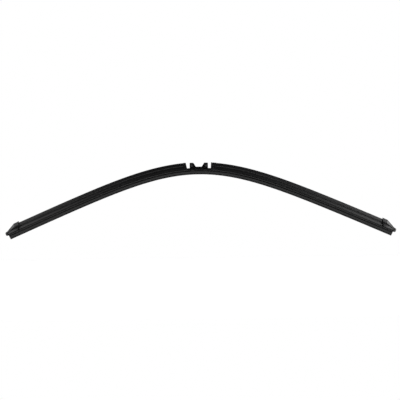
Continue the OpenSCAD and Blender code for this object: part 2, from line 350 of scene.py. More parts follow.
# %% [markdown]
# ## The rails
#
# Two flat strips of spring steel lie in the rubber's grooves and hold it in its bow. Each is
# a cube stretched to 4 by 1 mm, as a plain rectangle needs no drawn section, with the notch
# near each end that the cap's lug snaps into.

# %% Model the rails
RAIL_NEAR, RAIL_FAR = 1.05, 5.05
RAIL_INSET = 1.5
NOTCH_INSET, NOTCH_LEN, NOTCH_DEEP = 6.0, 2.4, 0.8


def block(name, low, high):
    """A cube stretched between two corners, in millimetres."""
    low, high = Vector(low) * MM, Vector(high) * MM
    bpy.ops.object.select_all(action="DESELECT")
    bpy.ops.mesh.primitive_cube_add(size=1, location=(low + high) / 2)
    piece = bpy.context.object
    piece.name = piece.data.name = name
    piece.scale = high - low
    bpy.ops.object.transform_apply(location=True, rotation=True, scale=True)
    return piece


def rail(name, side):
    """One rail, in front or behind, with its two notches."""
    near, far = sorted((side * RAIL_NEAR, side * RAIL_FAR))
    piece = block(name, (RAIL_INSET - end_of(-1), near, RAIL_LOW),
                  (end_of(1) - RAIL_INSET, far, RAIL_TOP))
    near, far = sorted((side * (RAIL_FAR - NOTCH_DEEP), side * (RAIL_FAR + 1)))
    for end in (-1, 1):
        middle = end * (end_of(end) - NOTCH_INSET)
        cut(piece, block("notch", (middle - NOTCH_LEN / 2, near, RAIL_LOW - 1),
                         (middle + NOTCH_LEN / 2, far, RAIL_TOP + 1)))
    soften(piece, 0.12)
    divide(piece, 4)
    bend(piece)
    return tidy(piece)


front_rail = rail("front_rail", -1)
rear_rail = rail("rear_rail", 1)
print("rails:", len(front_rail.data.polygons), "faces each")

# %% [markdown]
# ## The spoiler
#
# The spoiler is extruded too. Its foot grips the rails with a claw on each side, a cove
# runs up to a narrow waist, and above it the fin swells and tapers to the ridge that the wind
# presses on. It is hollow and open below, so its outline runs up one side, over the ridge,
# down the other side, and back round the inside.
#
# Just before the cap a dark slit runs up each flank, wider half way up. The cap's inner
# edge leans, and the slit follows it, so it is drawn as a leaning outline and pulled across.

# %% Model the two lengths of spoiler
RIDGE = 18.1
FOOT_H = 8.6
FOOT_OUT = 6.1
CLAW_H, CLAW_EDGE = 6.6, 0.25
WAIST_HALF, SWELL_HALF = 3.15, 3.5


def fin(more=0.0, top=RIDGE, waist=WAIST_HALF, swelling=SWELL_HALF):
    """Outside of foot, cove, waist and fin, from the claw up, made wider by more."""
    rise, foot = top - FOOT_H, FOOT_OUT + more
    neck, swell = waist + more, swelling + more
    cove = [(0.0, 0.93), (0.08, 0.68), (0.18, 0.42), (0.28, 0.2), (0.38, 0.05), (0.46, 0.0)]
    flank = [(0.51, 1.0), (0.58, 0.985), (0.7, 0.79), (0.83, 0.56), (0.93, 0.36),
             (0.98, 0.22), (1.0, 0.09)]
    return ([(foot - CLAW_EDGE, CLAW_H), (foot, CLAW_H + CLAW_EDGE), (foot, FOOT_H - 0.4)]
            + flowing([(neck + (foot - neck) * w, FOOT_H + rise * t) for t, w in cove])
            + flowing([(swell * w, FOOT_H + rise * t) for t, w in flank]))


CLAW_IN = 3.85
pocket = [(CLAW_IN, CLAW_H), (CLAW_IN, RAIL_LOW - PLAY), (RAIL_FAR + PLAY, RAIL_LOW - PLAY),
          (RAIL_FAR + PLAY, RAIL_TOP + PLAY)]
hollow = [(3.5, 8.35), (3.0, 10.15), (2.25, 12.21), (2.25, 14.11), (1.2, 16.01), (0.3, 16.77)]


def shell(outer, inner):
    """A section that is open below: up the right side, over, down the left, and back inside."""
    return (outer + [(-y, h) for y, h in reversed(outer)]
            + [(-y, h) for y, h in inner] + list(reversed(inner)))


LEFT_START, RIGHT_START = 16.4, 17.0
LEFT_END, RIGHT_END = 5.0, 7.4
CAP_IN, CAP_GRIP = NOSE_OUT - CAP_LEN, 9.0
MOUTH_TOP, MOUTH_LEAN = 20.0, math.radians(23)
SLIT, UNDER_CAP, SLIT_FROM = 1.3, 0.4, 2.1
SLIT_LOW, SLIT_TOP = CLAW_H - 1, 15.6
WINDOW, WINDOW_LOW, WINDOW_TOP = 3.4, 11.0, 13.4


def mouth(height):
    """The cap's leaning inner edge at this height, counted outwards from the rubber's end."""
    return CAP_IN + (MOUTH_TOP - height) * math.tan(MOUTH_LEAN)


def slit(side, flank):
    """The tool that cuts the slit in one flank, and the window half way up it."""
    outline = [(SLIT_LOW, SLIT), (WINDOW_LOW, SLIT), (WINDOW_LOW, WINDOW), (WINDOW_TOP, WINDOW),
               (WINDOW_TOP, SLIT), (SLIT_TOP, SLIT), (SLIT_TOP, -UNDER_CAP),
               (SLIT_LOW, -UNDER_CAP)]
    trace("slit", [(side * (end_of(side) + mouth(h) - back), flank * SLIT_FROM, h)
                   for h, back in outline])
    pull(y=flank * FOOT_OUT)
    return close_outward()


def spoiler(name, side, start, end):
    """One length, between two distances from the middle."""
    low, high = sorted((side * start, side * end))
    piece = bar(name, shell(fin(), pocket + hollow), low, high)
    soften(piece, 0.14)
    divide(piece, 4)
    for flank in (-1, 1):
        cut(piece, slit(side, flank))
    bend(piece)
    return tidy(piece)


left_spoiler = spoiler("left_spoiler", -1, LEFT_START + LEFT_END + PLAY,
                       end_of(-1) + CAP_IN + CAP_GRIP)
right_spoiler = spoiler("right_spoiler", 1, RIGHT_START + RIGHT_END + PLAY,
                        end_of(1) + CAP_IN + CAP_GRIP)
print("spoilers:", len(left_spoiler.data.polygons), "faces each")

# %% [markdown]
# ## The spoiler's end pieces
#
# Beside the bracket each length ends in a small moulded piece with upright grooves, a little
# fatter than the spoiler. It is pulled out in stretches, rib by groove, and the skin of each
# groove is then pressed in. A thinner section could be drawn for the grooves too, but pressing
# gives them the same depth all round. The left piece has a leaning face, cut with one plane.

# %% Model the end pieces
RIB_MORE, RIB_TOP, RIB_WAIST = 0.4, 18.45, 3.45
GROOVE_LEN, GROOVE_DEEP = 0.9, 0.3
LEFT_LEAN = math.radians(8)
HOLLOW_SIDE, HOLLOW_TOP, SKIN_FROM = 2.9, 9.9, 3.7
POCKET_SIDE, POCKET_TOP = 5.2, 8.4
end_hollow = [(HOLLOW_SIDE, RAIL_TOP + PLAY), (HOLLOW_SIDE, HOLLOW_TOP)]


def cut_off(x, height, turn):
    """Cuts off the side of a plane that faces turn, counted up from X, and fills the hole."""
    bpy.ops.mesh.select_all(action="SELECT")
    bpy.ops.mesh.bisect(plane_co=(x * MM, 0, height * MM), clear_outer=True,
                        plane_no=(math.cos(turn), 0, math.sin(turn)))
    mark("EDGE", lambda e: e.is_boundary)
    bpy.ops.mesh.edge_face_add()


def end_piece(name, side, start, length, grooves):
    """One end piece, from start outwards, with that many grooves."""
    section = shell(fin(RIB_MORE, RIB_TOP, RIB_WAIST), pocket + end_hollow)
    pitch = length / (grooves + 1)
    stops = [0.0]
    for g in range(grooves):
        stops += [(g + 1) * pitch - GROOVE_LEN / 2, (g + 1) * pitch + GROOVE_LEN / 2]
    stops.append(length)
    piece = trace(name, [(side * start, y, h) for y, h in section])
    for here, there in zip(stops, stops[1:]):
        pull(x=side * (there - here))
    bpy.ops.mesh.select_all(action="SELECT")
    bpy.ops.mesh.normals_make_consistent(inside=False)
    dips = [start + a for a in stops[1:-1:2]]

    def in_groove(face):
        """Whether a face is skin of a groove, and not the claw's underside or the pocket."""
        along, out, height = (abs(c) / MM for c in face.calc_center_median())
        skin = abs(face.normal.x) < 0.5 and (out > SKIN_FROM or height > HOLLOW_TOP)
        under = height < CLAW_H + 0.01 or (out < POCKET_SIDE and height < POCKET_TOP)
        return skin and not under and any(a < along < a + GROOVE_LEN for a in dips)

    mark("FACE", in_groove)
    bpy.ops.mesh.extrude_region_shrink_fatten(
        TRANSFORM_OT_shrink_fatten={"value": -GROOVE_DEEP * MM, "use_even_offset": True})
    if side < 0:
        cut_off(-start, CLAW_H, LEFT_LEAN)
    close_mesh()
    soften(piece, 0.12)
    bend(piece)
    return tidy(piece)


left_end = end_piece("left_spoiler_end", -1, LEFT_START, LEFT_END, 1)
right_end = end_piece("right_spoiler_end", 1, RIGHT_START, RIGHT_END, 2)
print("end pieces:", len(left_end.data.polygons), "and", len(right_end.data.polygons), "faces")

# %% [markdown]
# ## The end caps
#
# Each cap is moulded. Its section is the spoiler's, made fatter, and it steps up above the
# ridge, stays level for 8 mm and slopes down to a rounded nose. It is pulled out station by
# station: at each one the part above the foot is scaled to the crown's height there, and at
# the nose the whole ring shrinks. One slanted plane gives its mouth the lean. The room inside
# is cut out with bars of the spoiler's, the rails' and the rubber's sections, and a tongue
# that reaches out into the hollow spoiler is joined on, so no light shows through the slit.
# A cube under a Subdivision Surface could be pushed into this form as well, but pulled out of
# the section, every corner of the cap stays in line with the spoiler's.

# %% Model one cap on the straight blade
CAP_OUT = NOSE_OUT - 0.15
CAP_MORE, CAP_WAIST, CAP_SWELL = 0.85, 3.75, 4.35
NOSE_H, NOSE_START = 10.6, 0.8
CROWN_LEN, SLOPE_END = 8.4, -0.5
CROWN_BEND = CAP_IN + CROWN_LEN
crown = [(CAP_IN, MOUTH_TOP), (CROWN_BEND, 19.7), (SLOPE_END, 13.2), (NOSE_OUT, 12.2)]
BEND_HALF, STATION = 0.7, 1.4
NOSE_TURNS, NOSE_FLAT = (15, 30, 45, 58, 70, 82), 0.35
stations = ([CAP_IN + CROWN_LEN * k / 4 for k in (1, 2, 3)]
            + [CROWN_BEND - BEND_HALF, CROWN_BEND, CROWN_BEND + BEND_HALF]
            + [CROWN_BEND + BEND_HALF + STATION * k for k in range(1, 9)]
            + [SLOPE_END, NOSE_START])


def crown_at(x):
    """Height of the crown, x counted outwards from the rubber's end."""
    for (x0, h0), (x1, h1) in zip(crown, crown[1:]):
        if x <= x1 + 1e-9:
            return h0 + (h1 - h0) * (x - x0) / (x1 - x0)
    return crown[-1][1]


def scale_ring(x, width, height, about):
    """Scales the ring that was pulled out last, about a height on the middle plane."""
    bpy.ops.transform.resize(value=(1, width, height), orient_type="GLOBAL",
                             center_override=(x * MM, 0, about * MM))


def solid_cap(name, end):
    """The cap's outer shape, on the right side, with the rubber's end there."""
    piece = trace(name, [(end + CAP_IN, y, h) for y, h in
                         both_halves(fin(CAP_MORE, MOUTH_TOP, CAP_WAIST, CAP_SWELL))])
    here = CAP_IN
    for x in stations:
        pull(x=x - here)
        beyond = (end + x - 1e-3) * MM
        mark("VERT", lambda v: v.co.x > beyond and v.co.z > (FOOT_H + 0.01) * MM)
        lift = (crown_at(x) - FOOT_H) / (crown_at(here) - FOOT_H)
        scale_ring(end + x, 1, lift, FOOT_H)
        mark("FACE", lambda f: all(v.co.x > beyond for v in f.verts))
        here = x
    size = 1.0
    for turn in NOSE_TURNS:
        x = NOSE_START + (CAP_OUT - NOSE_START) * math.sin(math.radians(turn))
        pull(x=x - here)
        shrink = NOSE_FLAT + (1 - NOSE_FLAT) * math.cos(math.radians(turn))
        scale_ring(end + x, shrink / size, shrink / size, NOSE_H)
        here, size = x, shrink
    cut_off(end + CAP_IN, MOUTH_TOP, MOUTH_LEAN + math.pi)
    close_outward()
    return piece


# %% [markdown]
# Each room is a bar with the section of what goes into it, with a tenth of a millimetre or
# more of play, and it reaches as far in as that piece does. The tongue is joined on in the
# middle of the spoiler's room. All lengths count outwards from the rubber's end.

# %% Hollow the caps, and bend them
BELOW = CLAW_H - 2
ROOM_OUT, ROOM_TOP = 0.1, RIDGE + 0.15
spoiler_room = [(FOOT_OUT + ROOM_OUT, BELOW)] + [
    (y, h) for y, h in fin(ROOM_OUT, ROOM_TOP, CAP_WAIST) if h > CLAW_H + 1]
tongue = [(1.9, 9.8), (1.9, 14.2), (1.1, SLIT_TOP)]
steel_room = [(5.15, 7.2), (5.15, 8.5)]
rubber_room = [(2.9, BELOW), (2.9, 7.35), (1.1, 7.35), (1.1, 8.3), (2.7, 8.3), (2.7, 9.85)]
fittings = [("spoiler_room", spoiler_room, CAP_IN - 1, CAP_IN + CAP_GRIP + 0.2, "DIFFERENCE"),
            ("tongue", tongue, CAP_IN - 4.5, CAP_IN + CAP_GRIP + 1, "UNION"),
            ("steel_room", steel_room, CAP_IN, -1.2, "DIFFERENCE"),
            ("rubber_room", rubber_room, CAP_IN, 0.2, "DIFFERENCE")]


def cap(name, side):
    """A finished cap; the left one is mirrored before it is bent."""
    end = end_of(side)
    piece = solid_cap(name, end)
    for tool, half, start, stop, operation in fittings:
        cut(piece, bar(tool, both_halves(half), end + start, end + stop), operation)
    soften(piece, 0.12, angle=40)
    if side < 0:
        open_mesh(piece)
        bpy.ops.mesh.select_all(action="SELECT")
        bpy.ops.transform.resize(value=(-1, 1, 1), center_override=(0, 0, 0))
        close_outward()
    bend(piece)
    return tidy(piece, 40)


right_cap = cap("right_cap", 1)
left_cap = cap("left_cap", -1)
print("caps:", len(right_cap.data.polygons), "faces each")

# %% [markdown]
# ## The bracket
#
# The bracket is one piece of sheet steel, 1.2 mm thick. It could be cut from a block, but
# folds that come from a sheet have even walls and true bend radii, so it is folded here as
# well. First its side wall is traced flat, with rounded corners: two ears, and low between
# them the line where the saddle starts.

# %% Trace the side wall
WALL_OUT, SADDLE_BEND = 6.35, 1.6
BRACKET_HALF, EAR_NEAR, SADDLE_HALF = 13.55, 8.05, 4.4
EAR_TOP, SADDLE_H, SKIRT_H = 17.25, 11.5, 7.0
GRIP_X, CLAW_HALF, FLOOR_HALF = 9.3, 2.0, 5.4


def rounded(corners, radius, steps=4):
    """Replaces each (x, h) corner by an arc of short steps; radius gives each corner's own."""
    line, count = [], len(corners)
    for i, corner in enumerate(corners):
        here = Vector(corner)
        back, ahead = Vector(corners[i - 1]) - here, Vector(corners[(i + 1) % count]) - here
        size = radius[i]
        if not size:
            line.append(corner)
            continue
        back.normalize(), ahead.normalize()
        reach = size / math.tan(back.angle(ahead) / 2)
        a, b = here + back * reach, here + ahead * reach
        for k in range(steps + 1):
            t = k / steps
            line.append(tuple(a * (1 - t) ** 2 + here * 2 * t * (1 - t) + b * t * t))
    return line


half_wall = [(SADDLE_HALF, SADDLE_H - SADDLE_BEND), (SADDLE_HALF, SADDLE_H), (EAR_NEAR, EAR_TOP),
             (BRACKET_HALF, EAR_TOP), (BRACKET_HALF, SKIRT_H), (GRIP_X + CLAW_HALF, SKIRT_H),
             (GRIP_X - CLAW_HALF, SKIRT_H), (FLOOR_HALF, SKIRT_H), (FLOOR_HALF, SKIRT_H + 1)]
half_radius = [0, 0.7, 0.9, 0.8, 0.5, 0, 0, 0.5, 0.5]
wall = half_wall + [(-x, h) for x, h in reversed(half_wall)]
wall = rounded(wall, half_radius + list(reversed(half_radius)))
bracket = trace("bracket", [(x, -WALL_OUT, h) for x, h in wall])
print("side wall:", len(wall), "corners")

# %% [markdown]
# Still in edit mode, the middle of the top edge is spun through a quarter turn and carried
# over to the middle plane as the saddle. Two lower edges are spun inwards as claws under the
# rails. A Mirror modifier gives the other side, and Solidify gives the sheet its thickness.

# %% Fold the sheet
SHEET, CLAW_BEND, CLAW_REACH = 1.2, 1.25, 1.3


def level_edge(edge, height, x):
    """Whether an edge of the wall lies at this height, with its middle at x."""
    a, b = (v.co / MM for v in edge.verts)
    level = abs(a.z - height) < 0.001 and abs(b.z - height) < 0.001
    return level and abs((a.x + b.x) / 2 - x) < 0.11 and abs(a.y + WALL_OUT) < 0.001


mark("EDGE", lambda e: level_edge(e, SADDLE_H - SADDLE_BEND, 0))
bpy.ops.mesh.spin(steps=6, angle=math.radians(90), axis=(1, 0, 0), dupli=False,
                  center=(0, (SADDLE_BEND - WALL_OUT) * MM, (SADDLE_H - SADDLE_BEND) * MM))
mark("EDGE", lambda e: all(abs(v.co.z - SADDLE_H * MM) < 1e-6 and v.co.y > (0.1 - WALL_OUT) * MM
                           for v in e.verts))
pull(y=WALL_OUT - SADDLE_BEND)
for side in (-1, 1):
    mark("EDGE", lambda e: level_edge(e, SKIRT_H, side * GRIP_X))
    bpy.ops.mesh.spin(steps=5, angle=math.radians(-90), axis=(1, 0, 0), dupli=False,
                      center=(0, (CLAW_BEND - WALL_OUT) * MM, SKIRT_H * MM))
    mark("EDGE", lambda e: side * e.verts[0].co.x > 0 and all(
        abs(v.co.z - (SKIRT_H - CLAW_BEND) * MM) < 1e-6 for v in e.verts))
    pull(y=CLAW_REACH)
close_mesh()
apply(bracket, "MIRROR", use_axis=(False, True, False), use_clip=True, merge_threshold=0.01 * MM)
open_mesh(bracket)
close_outward()
apply(bracket, "SOLIDIFY", thickness=SHEET * MM, offset=-1, use_even_offset=True)
print("folded sheet:", len(bracket.data.polygons), "faces")

# %% [markdown]
# Each dent is pressed in from outside, and the steel it moves stands out inside as a tab that
# rests on the rail. The tabs are joined on and the dents and pin holes cut, and at the end
# every edge is broken a little, as it is after deburring and coating.

# %% Press the tabs and cut the holes
DENT_HALF, DENT_DEEP, DENT_LOW, DENT_HIGH = 1.25, 0.6, 8.3, 9.6
TAB_LOW, TAB_HIGH, TAB_REACH, TAB_ROOT = 8.25, 9.25, 3.65, 0.3
PIN_X, PIN_H, SHANK_R = 10.4, 13.3, 1.7


def rod(name, x, radius, half, sides=48):
    """A round bar across the blade, at the height of the pins."""
    bpy.ops.object.select_all(action="DESELECT")
    bpy.ops.mesh.primitive_cylinder_add(vertices=sides, radius=radius * MM, depth=2 * half * MM,
                                        location=(x * MM, 0, PIN_H * MM),
                                        rotation=(math.radians(90), 0, 0))
    piece = bpy.context.object
    piece.name = piece.data.name = name
    bpy.ops.object.transform_apply(location=True, rotation=True, scale=True)
    return piece


def across(side, near, far):
    """A stretch across the blade on one side, low end first."""
    return (min(side * near, side * far), max(side * near, side * far))


for end in (-1, 1):
    x_low, x_high = end * GRIP_X - DENT_HALF, end * GRIP_X + DENT_HALF
    for side in (-1, 1):
        low, high = across(side, TAB_REACH, WALL_OUT - SHEET + TAB_ROOT)
        tab = block("tab", (x_low, low, TAB_LOW), (x_high, high, TAB_HIGH))
        cut(bracket, tab, "UNION")
        low, high = across(side, WALL_OUT - DENT_DEEP, WALL_OUT + 1)
        cut(bracket, block("dent", (x_low, low, DENT_LOW), (x_high, high, DENT_HIGH)))
    cut(bracket, rod("hole", end * PIN_X, SHANK_R, WALL_OUT + 1))
soften(bracket, 0.13, angle=35)
remember(bracket)


def settle(piece):
    """Puts a piece that isn't bent at its height in the shared frame."""
    pick(piece)
    piece.location.z = -LIP_BELOW_SEAT * MM
    bpy.ops.object.transform_apply(location=True, rotation=True, scale=True)
    return piece


tidy(settle(bracket), 35)
print("bracket:", len(bracket.data.polygons), "faces")

# %% [markdown]
# ## The pins
#
# Two turned pins are pressed into the ears. Each starts as a cylinder; its ends are inset and
# pulled out for the thinner free ends, chamfered, and given the small centre hole that the
# lathe leaves. A profile spun round the axis would give the same, but with poles to close.
# The second pin is a copy of the first.

# %% Turn the pins
PIN_R, PIN_OUT, CHAMFER = 1.5, 1.4, 0.2
CENTRE_R, CENTRE_DEEP, CENTRE_TAPER = 0.45, 0.3, 0.3


def end_face(side):
    """A test that picks a rod's end face on one side."""
    return lambda face: side * face.normal.y > 0.9 and abs(face.calc_center_median().y) > 5 * MM


def narrow(share):
    """Scales what is selected towards the left pin's axis."""
    bpy.ops.transform.resize(value=(share, 1, share),
                             center_override=(-PIN_X * MM, 0, PIN_H * MM))


left_pin = rod("left_pin", -PIN_X, SHANK_R, WALL_OUT)
open_mesh(left_pin)
for side in (-1, 1):
    mark("FACE", end_face(side))
    bpy.ops.mesh.inset(thickness=(SHANK_R - PIN_R) * MM)
    pull(y=side * (PIN_OUT - CHAMFER))
    pull(y=side * CHAMFER)
    narrow((PIN_R - CHAMFER) / PIN_R)
    bpy.ops.mesh.inset(thickness=(PIN_R - CHAMFER - CENTRE_R) * MM)
    pull(y=-side * CENTRE_DEEP)
    narrow(CENTRE_TAPER)
close_mesh()
right_pin = left_pin.copy()
right_pin.data = left_pin.data.copy()
right_pin.name = right_pin.data.name = "right_pin"
bpy.context.scene.collection.objects.link(right_pin)
right_pin.location.x = 2 * PIN_X * MM
pick(right_pin)
bpy.ops.object.transform_apply(location=True, rotation=True, scale=True)
for pin in (left_pin, right_pin):
    remember(pin)
    tidy(settle(pin), 30)
print("pins:", len(left_pin.data.polygons), "faces each")

# %% [markdown]
# ## Finishes
#
# Everything here is black, so what tells one material from another is its gloss and its
# texture. All colours are written as sRGB hex, as a paint chip would give them, and one
# function turns them into the linear values that the shader works with. A second small
# function adds a node, sets it, and joins its inputs.

# %% Helpers for materials
def paint(code):
    """sRGB hex to a linear colour."""
    parts = [int(code[i:i + 2], 16) / 255 for i in (1, 3, 5)]
    return tuple(c / 12.92 if c <= 0.04045 else ((c + 0.055) / 1.055) ** 2.4
                 for c in parts) + (1.0,)


def per(*sizes):
    """The scale of a pattern whose features measure so many millimetres along X, Y and Z."""
    return tuple(1 / (size * MM) for size in sizes)


def join(tree, made, inputs):
    """Gives each of a node's inputs a value, or the socket that feeds it."""
    for name, value in inputs.items():
        if isinstance(value, bpy.types.NodeSocket):
            tree.links.new(value, made.inputs[name])
        else:
            made.inputs[name].default_value = value
    return made


def node(tree, kind, inputs=None, **settings):
    """Adds a node with its settings, and joins its inputs."""
    made = tree.nodes.new("ShaderNode" + kind)
    for name, value in settings.items():
        setattr(made, name, value)
    return join(tree, made, inputs or {})


def finish(name):
    """A new material with its shader; returns the material, its tree and the shader."""
    material = bpy.data.materials.new(name)
    material.use_nodes = True
    tree = material.node_tree
    return material, tree, tree.nodes["Principled BSDF"]


# %% [markdown]
# **Squeegee rubber** is extruded, and rubbed with graphite so that it slides on wet glass.
# The graphite makes it matt and a little greyer than the plastics. The extruder's die leaves
# fine lines along it; they are drawn about 0.5 mm apart, wider than real ones, to show at all.
# All patterns read the place on the straight blade, so they follow the bow.

# %% Extruded rubber with graphite
rubber, tree, shader = finish("extruded rubber, graphited")
place = node(tree, "Attribute", attribute_name="straight").outputs["Vector"]
lengthwise = node(tree, "Mapping", {"Vector": place, "Scale": per(60, 0.5, 0.5)})
die_lines = node(tree, "TexNoise", {"Vector": lengthwise.outputs[0], "Scale": 1.0, "Detail": 2.0})
cloudy = node(tree, "Mapping", {"Vector": place, "Scale": per(9, 3, 3)})
dusting = node(tree, "TexNoise", {"Vector": cloudy.outputs[0], "Scale": 1.0, "Detail": 5.0,
                                  "Roughness": 0.6})
grain = node(tree, "TexNoise", {"Vector": place, "Scale": 1 / (0.3 * MM), "Detail": 2.0})
dusty = node(tree, "MapRange", {"Value": dusting.outputs["Fac"], "From Min": 0.3, "From Max": 0.7})
tint = node(tree, "Mix", {0: dusty.outputs[0], 6: paint("#0c0c0d"), 7: paint("#141415")},
            data_type="RGBA")
matt = node(tree, "MapRange", {"Value": dusty.outputs[0], "To Min": 0.4, "To Max": 0.5})
lines = node(tree, "Bump", {"Height": die_lines.outputs["Fac"], "Distance": 0.03 * MM})
skin = node(tree, "Bump", {"Height": grain.outputs["Fac"], "Distance": 0.012 * MM,
                           "Normal": lines.outputs[0]})
join(tree, shader, {"Base Color": tint.outputs[2], "Roughness": matt.outputs[0],
                    "Normal": skin.outputs[0], "IOR": 1.5, "Specular IOR Level": 0.3})
print("rubber:", len(tree.nodes), "nodes")

# %% [markdown]
# **The spoiler** is a softer, smoother extrusion of thermoplastic elastomer: satin, with long
# faint flow lines and hardly any grain.

# %% Extruded elastomer
elastomer, tree, shader = finish("extruded elastomer, satin")
place = node(tree, "Attribute", attribute_name="straight").outputs["Vector"]
lengthwise = node(tree, "Mapping", {"Vector": place, "Scale": per(80, 0.9, 0.9)})
flow = node(tree, "TexNoise", {"Vector": lengthwise.outputs[0], "Scale": 1.0, "Detail": 2.0})
cloudy = node(tree, "Mapping", {"Vector": place, "Scale": per(25, 6, 6)})
cloud = node(tree, "TexNoise", {"Vector": cloudy.outputs[0], "Scale": 1.0, "Detail": 4.0})
speck = node(tree, "TexNoise", {"Vector": place, "Scale": 1 / (0.25 * MM), "Detail": 2.0})
hazy = node(tree, "MapRange", {"Value": cloud.outputs["Fac"], "From Min": 0.3, "From Max": 0.7})
tint = node(tree, "Mix", {0: hazy.outputs[0], 6: paint("#0a0a0b"), 7: paint("#0f0f10")},
            data_type="RGBA")
satin = node(tree, "MapRange", {"Value": flow.outputs["Fac"], "From Min": 0.25, "From Max": 0.75,
                                "To Min": 0.3, "To Max": 0.38})
lines = node(tree, "Bump", {"Height": flow.outputs["Fac"], "Distance": 0.02 * MM})
skin = node(tree, "Bump", {"Height": speck.outputs["Fac"], "Distance": 0.006 * MM,
                           "Normal": lines.outputs[0]})
join(tree, shader, {"Base Color": tint.outputs[2], "Roughness": satin.outputs[0],
                    "Normal": skin.outputs[0], "IOR": 1.5})
print("elastomer:", len(tree.nodes), "nodes")

# %% [markdown]
# **Caps and end pieces** are injection moulded. The mould is spark-eroded, which gives an even
# fine grain; it is drawn at 0.35 mm. Corners that hands and cloths rub are smoother and greyer,
# and the Pointiness of Blender's Geometry node finds them.

# %% Moulded plastic with a fine grain
moulded, tree, shader = finish("moulded plastic, fine grain")
place = node(tree, "Attribute", attribute_name="straight").outputs["Vector"]
eroded = node(tree, "TexNoise", {"Vector": place, "Scale": 1 / (0.35 * MM), "Detail": 3.0,
                                 "Roughness": 0.6})
patch = node(tree, "TexNoise", {"Vector": place, "Scale": 1 / (7 * MM), "Detail": 4.0})
corner = node(tree, "NewGeometry").outputs["Pointiness"]
rubbed = node(tree, "MapRange", {"Value": corner, "From Min": 0.52, "From Max": 0.62})
tint = node(tree, "Mix", {0: rubbed.outputs[0], 6: paint("#0e0e0f"), 7: paint("#343436")},
            data_type="RGBA")
base = node(tree, "MapRange", {"Value": patch.outputs["Fac"], "From Min": 0.3, "From Max": 0.7,
                               "To Min": 0.26, "To Max": 0.34})
less = node(tree, "Math", {0: rubbed.outputs[0], 1: 0.08}, operation="MULTIPLY")
gloss = node(tree, "Math", {0: base.outputs[0], 1: less.outputs[0]}, operation="SUBTRACT")
skin = node(tree, "Bump", {"Height": eroded.outputs["Fac"], "Distance": 0.02 * MM})
join(tree, shader, {"Base Color": tint.outputs[2], "Roughness": gloss.outputs[0],
                    "Normal": skin.outputs[0], "IOR": 1.49})
print("moulded plastic:", len(tree.nodes), "nodes")

# %% [markdown]
# **The bracket** is pressed steel with a black dip coat. The coat draws up slightly as it
# bakes, like orange peel, and it is thin along the edges, where grey steel begins to show.

# %% Dip-coated steel
coated, tree, shader = finish("pressed steel, black dip coat")
place = node(tree, "Attribute", attribute_name="straight").outputs["Vector"]
peel = node(tree, "TexNoise", {"Vector": place, "Scale": 1 / (1.4 * MM), "Detail": 2.0})
streaks = node(tree, "Mapping", {"Vector": place, "Scale": per(3, 3, 0.4)})
scuff = node(tree, "TexNoise", {"Vector": streaks.outputs[0], "Scale": 1.0, "Detail": 4.0,
                                "Roughness": 0.65})
corner = node(tree, "NewGeometry").outputs["Pointiness"]
thin = node(tree, "MapRange", {"Value": corner, "From Min": 0.53, "From Max": 0.66})
bare = node(tree, "MapRange", {"Value": scuff.outputs["Fac"], "From Min": 0.42, "From Max": 0.6})
worn = node(tree, "Math", {0: thin.outputs[0], 1: bare.outputs[0]}, operation="MULTIPLY")
tint = node(tree, "Mix", {0: worn.outputs[0], 6: paint("#060606"), 7: paint("#303031")},
            data_type="RGBA")
gloss = node(tree, "MapRange", {"Value": scuff.outputs["Fac"], "From Min": 0.3, "From Max": 0.7,
                                "To Min": 0.22, "To Max": 0.3})
skin = node(tree, "Bump", {"Height": peel.outputs["Fac"], "Distance": 0.02 * MM})
join(tree, shader, {"Base Color": tint.outputs[2], "Roughness": gloss.outputs[0],
                    "Normal": skin.outputs[0], "IOR": 1.5, "Specular IOR Level": 0.3})
print("dip coat:", len(tree.nodes), "nodes")

# %% [markdown]
# **The rails** are rolled spring steel with a thin black lacquer. Rolling leaves long fine
# lines, and the lacquer lets some of the metal's shine through.

# %% Lacquered spring steel
lacquered, tree, shader = finish("spring steel, thin black lacquer")
place = node(tree, "Attribute", attribute_name="straight").outputs["Vector"]
lengthwise = node(tree, "Mapping", {"Vector": place, "Scale": per(40, 0.25, 0.25)})
rolled = node(tree, "TexNoise", {"Vector": lengthwise.outputs[0], "Scale": 1.0, "Detail": 3.0})
cloudy = node(tree, "Mapping", {"Vector": place, "Scale": per(5, 1.5, 1.5)})
spots = node(tree, "TexNoise", {"Vector": cloudy.outputs[0], "Scale": 1.0, "Detail": 4.0,
                                "Roughness": 0.6})
spotty = node(tree, "MapRange", {"Value": spots.outputs["Fac"], "From Min": 0.35, "From Max": 0.7})
tint = node(tree, "Mix", {0: spotty.outputs[0], 6: paint("#1a1a1b"), 7: paint("#2c2c2e")},
            data_type="RGBA")
gloss = node(tree, "MapRange", {"Value": rolled.outputs["Fac"], "From Min": 0.3, "From Max": 0.7,
                                "To Min": 0.3, "To Max": 0.45})
skin = node(tree, "Bump", {"Height": rolled.outputs["Fac"], "Distance": 0.015 * MM})
join(tree, shader, {"Base Color": tint.outputs[2], "Roughness": gloss.outputs[0],
                    "Normal": skin.outputs[0], "Metallic": 0.35})
print("lacquered steel:", len(tree.nodes), "nodes")

# %% [markdown]
# **The pins** are turned and blackened. The tool leaves rings: round the pin on its shank, and
# round its axis on the end faces. Each pin gets its own copy, centred on its own axis.

